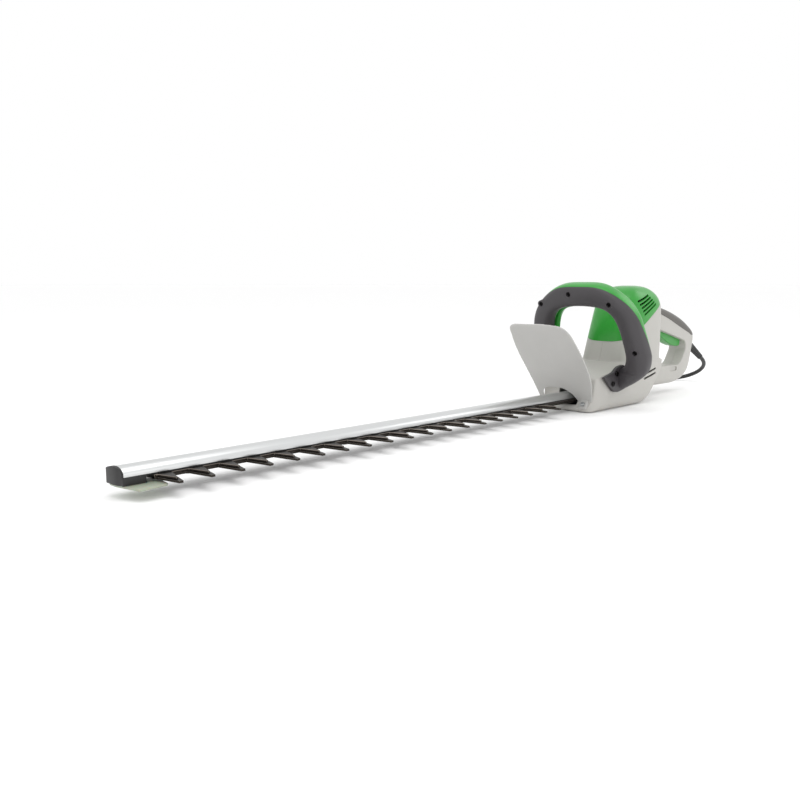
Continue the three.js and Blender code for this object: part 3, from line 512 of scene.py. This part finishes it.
# ---------------------------------------------------------------- housing forms
BASE_PLAN = [(102, -30), (90, -44), (60, -48), (-60, -48), (-112, -44), (-112, 44), (-60, 48), (60, 48),
             (90, 44), (102, 30)]
BASE_SIDE = [(-46, 0), (97, 0), (101, 5), (92, 15), (88, 49), (14, 66), (-106, 66), (-102, 50), (-81, 30)]
BASE_SECTION = [(-40, 0, 3), (40, 0, 3), (46.5, 7, 5), (48.3, 20, 6), (48.3, 68, 8), (-48.3, 68, 8),
                (-48.3, 20, 6), (-46.5, 7, 5)]
TOWER_LEVELS = [(44, 16, -116, 47), (66, 9, -119, 46), (100, -1, -123, 43.5), (141, -14, -126, 40.5),
                (155, -19, -122, 38.5), (165, -26, -115, 34.5), (173, -35, -104, 28), (178, -46, -90, 20),
                (180, -59, -77, 9)]
SQUARENESS = 3.3
HANDLE_OUTER = [(-90, 152, 0), (-150, 145.5, 30), (-190, 136.5, 30), (-236, 121.5, 30), (-278, 98, 17),
                (-268, 62, 20), (-260, 36, 12), (-243, 22, 14), (-213, 15, 20), (-90, 16.5, 0)]
HAND_OPENING = [(-127, 48, 8), (-224, 45.5, 10), (-245, 73, 7), (-239, 86, 4), (-150, 108, 12),
                (-127, 116, 8)]
HANDLE_HALF_WIDTH = 16
COVER_EDGE = [(60, 92), (8, 93), (-12, 101), (-130, 165)]
INSERT_BAND = [(-128, 180), (-128, 139), (-147, 134.5), (-180, 124.5), (-223, 109), (-251, 99.5),
               (-262, 94.5), (-300, 92), (-300, 180)]
INTAKE_SLOTS = [((-37 - 3.2 * i, 154 - 5.1 * i), (-71 - 4 * i, 164 - 3.4 * i)) for i in range(5)]
INTAKE_SLOT_HEIGHT = EXHAUST_SLOT_HEIGHT = 3.4
EXHAUST_SLOTS = [((-42, z), (-82, z + 7)) for z in (36.5, 43.5)]
SIDE_RECESS = [(-213, 36), (-187, 36), (-187, 43.5), (-213, 43.5)]
SIDE_RECESS_FROM_Y = 14.3
TRIGGER_PIN = (-147, 112)
VOXEL = 1.2


def base_form():
    base = extruded("base_plan", rounded(BASE_PLAN, 10), "z", -10, 100)
    combined(base, "INTERSECT", extruded("base_side", rounded(BASE_SIDE, 5), "y", -60, 60))
    combined(base, "INTERSECT", extruded("base_section", rounded(BASE_SECTION), "x", -150, 150))
    return base


def tower_form():
    heights = [level[0] for level in TOWER_LEVELS]

    def level_at(share):
        """Front, rear and half width at a share of the way up, on smooth lines through the levels."""
        columns = [[(i, level[k]) for i, level in enumerate(TOWER_LEVELS)] for k in (0, 1, 2, 3)]
        return [spline(column, share).y for column in columns]

    def place(u, v):
        z, front, rear, half = level_at(v)
        turn = u * 2 * math.pi
        power = 2 / SQUARENESS
        x = math.copysign(abs(math.cos(turn)) ** power, math.cos(turn))
        y = math.copysign(abs(math.sin(turn)) ** power, math.sin(turn))
        return Vector(((front + rear) / 2 + x * (front - rear) / 2, y * half, min(z, heights[-1])))

    return surface("tower", place, 120, 56)


def handle_form():
    handle = extruded("handle", rounded(HANDLE_OUTER, 10), "y", -HANDLE_HALF_WIDTH, HANDLE_HALF_WIDTH)
    bevelled(handle, 9, 5, 60)
    opening = extruded("opening", rounded(HAND_OPENING, 8), "y", -60, 60)
    cut(handle, opening)
    return handle


def above_cover_edge(name, shift):
    outline = [(x, z + shift) for x, z in COVER_EDGE] + [(-130, 260), (60, 260)]
    return extruded(name, outline, "y", -80, 80)


def side_slot(start, end, height):
    (x0, z0), (x1, z1) = start, end
    outline = rounded([(x0, z0), (x1, z1), (x1, z1 + height), (x0, z0 + height)], height / 2.1, 4)
    return extruded("slot", outline, "y", -80, 80)


def shield_screw_place(side, distance):
    """A point on the axis of a shield screw, at a distance out from the chin."""
    return Vector((101.4, side * 32, 12.17)) + Vector((0.768, 0, 0.64)) * distance


def make_housing():
    form = softened(join(base_form(), tower_form(), handle_form()), VOXEL, 7)
    inside = swollen(form, "inside", -WALL, 2.2)
    grip = combined(copied(form, "grip"), "INTERSECT", block("rear", (-400, -110), (-80, 80), (-20, 300)))
    seat = swollen(grip, "seat", -2.2 - GAP, 1.6)
    insert_core = swollen(grip, "insert_core", -2.2, 1.6)
    insert = swollen(grip, "grip_pad", 0.5, VOXEL)
    bpy.data.objects.remove(grip)

    combined(insert, "INTERSECT", extruded("band", INSERT_BAND, "y", -60, 60))
    cut(insert, insert_core)

    cover = combined(copied(form, "motor_cover"), "INTERSECT", above_cover_edge("edge", GAP / 2))
    cut(cover, inside, keep_tools=True)
    for start, end in INTAKE_SLOTS:
        cut(cover, side_slot(start, end, INTAKE_SLOT_HEIGHT))

    shell = cut(form, inside)
    shell.name = shell.data.name = "shell"
    seat_cut = combined(extruded("band", grown(INSERT_BAND, GAP), "y", -60, 60), "DIFFERENCE", seat)
    cut(shell, above_cover_edge("edge", -GAP / 2), seat_cut)
    cut(shell, extruded("bottom", grown(rounded([
        (-36, -35), (78, -35), (88, -27), (88, 27), (78, 35), (-36, 35)], 6), GAP), "z", -5, 6))
    entry = extruded("entry", rounded([(-16, 9.5, 1), (18, 9.5, 1), (18, 27, 6), (6, 34, 8), (-16, 34, 6)]),
                     "x", 80, 120)
    cut(shell, entry)
    cut(shell, extruded("trigger_slot", [(-136, 100), (-239, 72), (-239, 96), (-136, 126)], "y", -8.2, 8.2))
    cut(shell, rod("lead_way", 7.2, RELIEF_EXIT - RELIEF_WAY * 20, RELIEF_EXIT + RELIEF_WAY * 30))
    for start, end in EXHAUST_SLOTS:
        cut(shell, side_slot(start, end, EXHAUST_SLOT_HEIGHT))
    for side in (-1, 1):
        cut(shell, rod("screw_way", 2.2, shield_screw_place(side, -11), shield_screw_place(side, 5)))
        recess = extruded("recess", rounded(SIDE_RECESS, 3.7), "y", SIDE_RECESS_FROM_Y, 30)
        if side < 0:
            modified(recess, "MIRROR", use_axis=(False, True, False), use_bisect_axis=(False, True, False),
                     use_bisect_flip_axis=(False, True, False))
        cut(shell, recess)
    pin_x, pin_z = TRIGGER_PIN
    cut(shell, rod("pin_way", 2.8, (pin_x, -13.6, pin_z), (pin_x, 13.6, pin_z)))
    halves = []
    for name, ys in (("housing_shell_left", (GAP / 2, 90)), ("housing_shell_right", (-90, -GAP / 2))):
        half = combined(copied(shell, name), "INTERSECT", block("side", (-400, 400), ys, (-20, 300)))
        halves.append(half)
    bpy.data.objects.remove(shell)

    placed(smoothed(halves[0]), "light grey ABS", HOUSING, "light_grey_plastic", "housing_left")
    placed(smoothed(halves[1]), "light grey ABS", HOUSING, "light_grey_plastic", "housing_right")
    placed(smoothed(cover), "green ABS", HOUSING, "green_plastic", "top_cover")
    placed(smoothed(insert), "soft grip", HOUSING, "soft_grip", "grip_insert")


make_housing()


# ---------------------------------------------------------------- loop handle
LOOP_OUTER_HALF = [(0, 184.5), (30, 183), (52, 174), (73, 157), (85, 138), (90.5, 116), (95.5, 90), (97, 74),
                   (91, 56), (75, 43), (57, 33), (48.6, 28)]
LOOP_INNER_HALF = [(0, 152), (24, 150.5), (40, 146.5), (51, 137), (58, 121), (62.5, 99), (64.5, 81),
                   (60, 67), (48.6, 60)]
LOOP_MIDDLE_X = 44
LOOP_HALF_DEPTH = 17
LOOP_FACE_X = LOOP_MIDDLE_X + LOOP_HALF_DEPTH
LOOP_LEAN = 0.28
LOOP_LEAN_FROM = 110
LEAN_TURN = math.atan(LOOP_LEAN)
PARTING_SLOPE = 0.24
PARTING_MIDDLE_Z = 133
FOOT_Y = 48.6


def both_halves(points):
    """The line from the right foot over the top to the left foot."""
    return [(-y, z) for y, z in reversed(points)] + points[1:]


outer_line = measured_line(both_halves(LOOP_OUTER_HALF))
inner_line = measured_line(both_halves(LOOP_INNER_HALF))


def leaned(x, y, z):
    """A point of the upright loop, moved to where the leaning loop has it."""
    depth = x - LOOP_MIDDLE_X
    forward = LOOP_MIDDLE_X + depth * math.cos(LEAN_TURN) + LOOP_LEAN * (z - LOOP_LEAN_FROM)
    return Vector((forward, y, z - depth * math.sin(LEAN_TURN)))


def parting_x(z):
    return LOOP_MIDDLE_X + PARTING_SLOPE * (z - PARTING_MIDDLE_Z)


def loop_tube(name, wall=0, start=0.0, end=1.0):
    """The loop's rounded tube between its outer and inner lines, thinner by the wall."""
    def place(u, v):
        share = start + (end - start) * v
        outer, inner = outer_line(share), inner_line(share)
        middle = (outer + inner) / 2
        reach = (outer - inner) / 2
        reach -= reach.normalized() * wall
        turn = u * 2 * math.pi
        power = 2 / 2.7
        out = math.copysign(abs(math.cos(turn)) ** power, math.cos(turn))
        depth = math.copysign(abs(math.sin(turn)) ** power, math.sin(turn))
        y, z = middle + reach * out
        return leaned(LOOP_MIDDLE_X + depth * (LOOP_HALF_DEPTH - wall), y, z)

    return surface(name, place, 56, 150)


def inner_band(name, xs, low, high, start=0.14, end=0.86):
    """A strip that follows the inside of the loop, from low outside its inner line to high inside it."""
    def place(u, v):
        share = start + (end - start) * v
        ahead = inner_line(min(1, share + 0.002)) - inner_line(max(0, share - 0.002))
        inward = Vector((ahead.y, -ahead.x)).normalized()
        corners = rounded([(xs[0], low), (xs[1], low), (xs[1], high), (xs[0], high)], 1.6, 3)
        x, reach = corners[round(u * len(corners)) % len(corners)]
        y, z = inner_line(share) + inward * reach
        return leaned(x, y, z)

    return surface(name, place, 16, 90)


def split_by_parting(piece, keep_front):
    """The parting leans further forward than the loop, so the rear shell thins to nothing above the feet."""
    shift = GAP / 2 if keep_front else -GAP / 2
    low, high = (leaned(parting_x(z) + shift, 0, z) for z in (60, 180))
    across = Vector((high.z - low.z, 0, low.x - high.x)).normalized()
    with editing(piece):
        bpy.ops.mesh.bisect(
            plane_co=low * MM, plane_no=across,
            clear_inner=keep_front, clear_outer=not keep_front, use_fill=True,
        )
    return piece


LOOP_SCREWS = [(-65, 157), (-14, 172), (51, 158), (84, 90), (-84, 90)]
FOOT_SCREWS = [(58, 40), (49, 54)]
FOOT_OUTLINE = [(14, 58, 3), (14, 34, 3), (42, 26.5, 4), (54, 28, 3), (81, 50.5, 2), (72, 53, 6),
                (57, 56, 6), (46, 64, 6), (30, 66, 3)]


def make_loop():
    front = split_by_parting(loop_tube("loop_handle_front"), True)
    rear = split_by_parting(loop_tube("loop_handle_rear"), False)
    hollow = loop_tube("hollow", WALL, 0.02, 0.98)
    channel = inner_band("channel", (10, 42.4), -4.6, 3.6, 0.12, 0.88)
    cut(rear, channel, hollow, keep_tools=True)
    cut(front, channel, hollow)
    for side in (-1, 1):
        ys = sorted((side * FOOT_Y, side * 53.5))
        plate = bevelled(extruded("foot", rounded(FOOT_OUTLINE, 4), "y", *ys), 0.8, 3, 50)
        join(front, plate)
        for x, z in FOOT_SCREWS:
            cut(front, rod("hole", 2.3, (x, side * 40, z), (x, side * 80, z)))
            cut(front, rod("seat", 4.3, (x, side * 53, z), (x, side * 90, z)))
    for y, z in LOOP_SCREWS:
        boss = rod("boss", 5.6, leaned(parting_x(z) + 2, y, z), leaned(LOOP_FACE_X - 1.2, y, z))
        combined(front, "UNION", boss)
        cut(front, rod("recess", 3.7, leaned(LOOP_FACE_X - 5, y, z), leaned(LOOP_FACE_X + 20, y, z)))
    placed(smoothed(front, 40), "dark grey nylon", HOUSING, "dark_grey_plastic", "loop_front_shell")
    placed(smoothed(rear, 40), "green ABS", HOUSING, "green_plastic", "loop_rear_shell")
    bar = inner_band("hand_switch_bar", (29.5, 37.5), -4, 3)
    placed(smoothed(bar, 50), "green ABS", SWITCH_BAR, "green_plastic", "switch_bar")


make_loop()


# ---------------------------------------------------------------- screws
def cross_screw(name, place, way, head_radius, head_height, shank_radius, shank_length):
    """A pan head with a cross recess, its shank pointing back along the way."""
    place, way = Vector(place), Vector(way).normalized()
    screw = rod(name, head_radius, place, place + way * head_height, 32)
    bevelled(screw, head_height * 0.4, 3, 40)
    join(screw, rod("shank", shank_radius, place - way * shank_length, place + way * 0.4, 16))
    side = way.orthogonal().normalized()
    turn = Matrix((side, way.cross(side), way)).transposed().to_4x4()
    for lengths in ((head_radius * 1.15, head_radius * 0.3), (head_radius * 0.3, head_radius * 1.15)):
        arm = block("arm", (-lengths[0] / 2, lengths[0] / 2), (-lengths[1] / 2, lengths[1] / 2),
                    (head_height * 0.45, head_height * 2))
        arm.data.transform(Matrix.Translation(place * MM) @ turn)
        cut(screw, arm)
    return smoothed(screw, 35)


def make_screws():
    for i, (y, z) in enumerate(LOOP_SCREWS):
        seat, face = leaned(LOOP_FACE_X - 4.6, y, z), leaned(LOOP_FACE_X, y, z)
        screw = cross_screw(f"loop_cross_screw_{i + 1}", seat, face - seat, 3.1, 2, 1.5, 4)
        placed(screw, "black oxide steel", HOUSING, "steel", f"loop_screw_{i + 1}")
    for side, label in ((1, "left"), (-1, "right")):
        for i, (x, z) in enumerate(FOOT_SCREWS):
            name = f"foot_cross_screw_{label}_{i + 1}"
            screw = cross_screw(name, (x, side * 53.8, z), (0, side, 0), 3.6, 1.8, 2, 5)
            placed(screw, "black oxide steel", HOUSING, "steel", f"foot_screw_{label}_{i + 1}")
        screw = cross_screw(f"shield_cross_screw_{label}", shield_screw_place(side, 1.1), (0.768, 0, 0.64),
                            3.4, 1.9, 1.8, 7)
        placed(screw, "zinc-plated steel", HOUSING, "steel", f"shield_screw_{label}")


make_screws()


# ---------------------------------------------------------------- trigger
TRIGGER_OUTLINE = [(-139.5, 117, 3), (-141, 108, 4), (-164, 98, 10), (-194, 83.5, 14), (-218, 77, 8),
                   (-235, 77, 4), (-236, 88, 4), (-222, 98, 4), (-152, 119, 3)]


def make_trigger():
    trigger = extruded("squeeze_trigger", rounded(TRIGGER_OUTLINE, 4), "y", -7.8, 7.8)
    pin_x, pin_z = TRIGGER_PIN
    cut(trigger, rod("pin_way", 2.8, (pin_x, -20, pin_z), (pin_x, 20, pin_z)))
    softened(trigger, 0.7, 8)
    placed(smoothed(trigger, 40), "green ABS", TRIGGER, "green_plastic", "trigger")


make_trigger()


# ---------------------------------------------------------------- hand shield
SHIELD_FOOT = Vector((93.4, 16))
SHIELD_TOP = Vector((156, 127))
SHIELD_REACH = (SHIELD_TOP - SHIELD_FOOT).length
SHIELD_CURL = 6


def up_shield(z):
    return (z - SHIELD_FOOT.y) / (SHIELD_TOP.y - SHIELD_FOOT.y) * SHIELD_REACH


def onto_shield(piece):
    """Leans a flat piece drawn in Y and Z, and curls its upper sides forward."""
    lean = math.atan2(SHIELD_TOP.x - SHIELD_FOOT.x, SHIELD_TOP.y - SHIELD_FOOT.y)
    for vertex in piece.data.vertices:
        x, y, up = vertex.co / MM
        z = SHIELD_FOOT.y + up * math.cos(lean) - x * math.sin(lean)
        height = max(0, (z - 40) / 85)
        curl = SHIELD_CURL * height * (y / 55) ** 2
        forward = SHIELD_FOOT.x + x * math.cos(lean) + up * math.sin(lean) + curl
        vertex.co = Vector((forward, y, z)) * MM


def make_shield():
    outline = rounded([
        (-38, up_shield(16.5), 1), (-38, up_shield(27), 6), (-28, up_shield(34), 5), (0, up_shield(35), 12),
        (15, up_shield(26), 5), (20, up_shield(16.5), 1), (43, up_shield(16.5), 4), (54, up_shield(52), 20),
        (50, up_shield(88), 20), (38, up_shield(125), 26), (0, up_shield(128), 12),
        (-56, up_shield(127), 10),
        (-58, up_shield(90), 20), (-45, up_shield(16.5), 4),
    ], 6, 10)
    shield = extruded("clear_hand_shield", outline, "x", 0, 2.4)
    softened(shield, 0.75, 3)
    onto_shield(shield)
    tab = [(92.6, 15.8), (101.7, 5.8), (103.6, 7.4), (97.4, 18.4), (95, 18.4)]
    for side in (-1, 1):
        ys = sorted((side * 26, side * 38))
        join(shield, bevelled(extruded("tab", tab, "y", *ys), 0.5, 2, 30))
        cut(shield, rod("hole", 2.2, shield_screw_place(side, -12), shield_screw_place(side, 8)))
    placed(smoothed(shield, 40), "milky polypropylene", HOUSING, "milky_plastic", "hand_shield")


make_shield()


# ---------------------------------------------------------------- bar, blades, cap and guard
BAR_XS = (52, 788)
BOLT_XS = (142, 334, 526, 718)


def bar_outline(shrink=0):
    """Flat below, crowned on top, with a shallow channel along the far edge."""
    bottom, crown, side = 19.5 + shrink, 28 - shrink, 13 - shrink
    near = [(1 + (side - 1) * math.cos(a), bottom + 1 + (crown - bottom - 1) * math.sin(a))
            for a in (i / 14 * math.pi / 2 for i in range(15))]
    far = [(1 - (side + 1) * t, crown - 3.5 * t ** 2) for t in (0.15, 0.3, 0.45, 0.6)]
    channel = [(-7.6, crown - 2.2), (-8.2, crown - 3.1), (-9.6, crown - 3.3), (-10.2, crown - 2.4)]
    if shrink:
        channel = [(1 - (side + 1) * 0.8, crown - 3.6)]
    return [(-side, bottom), (side, bottom)] + near + far + channel + [(-side, crown - 3.5)]


def make_bar():
    bar = extruded("blade_bar", bar_outline(), "x", *BAR_XS)
    cut(bar, extruded("core", bar_outline(1.7), "x", BAR_XS[0] - 1, BAR_XS[1] + 1))
    for x in BOLT_XS:
        cut(bar, rod("bolt_way", 2.9, (x, 0, 10), (x, 0, 24)))
    for x in (60, 76):
        cut(bar, rod("screw_way", 2.9, (x, -7, 22), (x, -7, 40)))
    bevelled(bar, 0.3, 2, 40)
    placed(smoothed(bar, 30), "anodised aluminium", HOUSING, "aluminium", "bar_profile")


def make_blades():
    for node, body, name in (("upper_blade", UPPER_BLADE, "upper_cutting_blade"),
                             ("lower_blade", LOWER_BLADE, "lower_cutting_blade")):
        blade = rework_of(node, name)
        blade.data.materials.append(MATERIALS["blade steel"])
        blade.data.materials.append(MATERIALS["ground steel"])
        bevelled(blade, 0.55, 1, 50, material=1)
        placed(smoothed(blade, 25), "blade steel", body, "blade_steel", node)


def make_cap_and_guard():
    cap = rework_of("end_cap", "bar_end_cap")
    bevelled(cap, 0.7, 3, 28)
    placed(smoothed(cap, 40), "black nylon", HOUSING, "black_plastic", "end_cap")
    guard = rework_of("tip_guard", "tip_guard_plate")
    bevelled(guard, 0.6, 3, 40)
    placed(smoothed(guard, 40), "frosted polycarbonate", HOUSING, "frosted_plastic", "tip_guard")
    for i in range(4):
        bolt = rework_of(f"blade_bolt_{i + 1}", f"shoulder_bolt_{i + 1}")
        bevelled(bolt, 0.3, 2, 30)
        placed(smoothed(bolt, 30), "zinc-plated steel", HOUSING, "steel", f"blade_bolt_{i + 1}")


make_bar()
make_blades()
make_cap_and_guard()


# ---------------------------------------------------------------- CAD pieces that keep their shape
CAD_FINISHES = {
    "black nylon": ["slide_strip", "cooling_fan", "main_switch", "loop_switch"],
    "light grey ABS": ["base_cover"],
    "cast aluminium": ["gear_plate"],
    "machined steel": ["drive_gear", "gear_shaft", "armature_shaft", "lower_bearing", "upper_bearing",
                       "trigger_pin",
                       "armature_core", "stator"],
    "zinc-plated steel": ["bar_screw_1", "bar_screw_2"] + [f"base_cover_screw_{i}" for i in (1, 2, 3, 4)],
    "enamelled copper": ["commutator", "field_coil_front", "field_coil_rear"],
    "brass": ["brush_holder_left", "brush_holder_right"],
    "brush carbon": ["brush_left", "brush_right"],
    "dipped film capacitor": ["capacitor"],
}
for finish, nodes in CAD_FINISHES.items():
    for node in nodes:
        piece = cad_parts[node]
        piece.data.materials.clear()
        piece.data.materials.append(MATERIALS[finish])


# ---------------------------------------------------------------- floor, light and end
def set_stage():
    bpy.context.scene.view_settings.view_transform = "Standard"
    bpy.ops.mesh.primitive_plane_add(size=80, location=(0, 0, -0.0004))
    floor = named("floor")
    floor.data.materials.append(MATERIALS["floor"])
    world = bpy.data.worlds.new("studio")
    bpy.context.scene.world = world
    world.use_nodes = True
    world.node_tree.nodes["Background"].inputs["Color"].default_value = (1, 1, 1, 1)
    world.node_tree.nodes["Background"].inputs["Strength"].default_value = 1.0
    lights = [
        ("key", (0.7, 0.1, 1.7), (0.05, 0, 0.1), 1.2, 7),
        ("fill", (0.9, 1.9, 0.9), (0.05, 0, 0.1), 1.2, 3),
        ("rim", (-1.2, 0.6, 1.2), (0, 0, 0.1), 0.8, 3),
    ]
    for name, place, target, size, power in lights:
        aim = (Vector(target) - Vector(place)).to_track_quat("-Z", "Y").to_euler()
        bpy.ops.object.light_add(type="AREA", location=place, rotation=aim)
        light = bpy.context.object
        light.name = light.data.name = name
        light.data.size = size
        light.data.energy = power


set_stage()
bpy.context.view_layer.update()
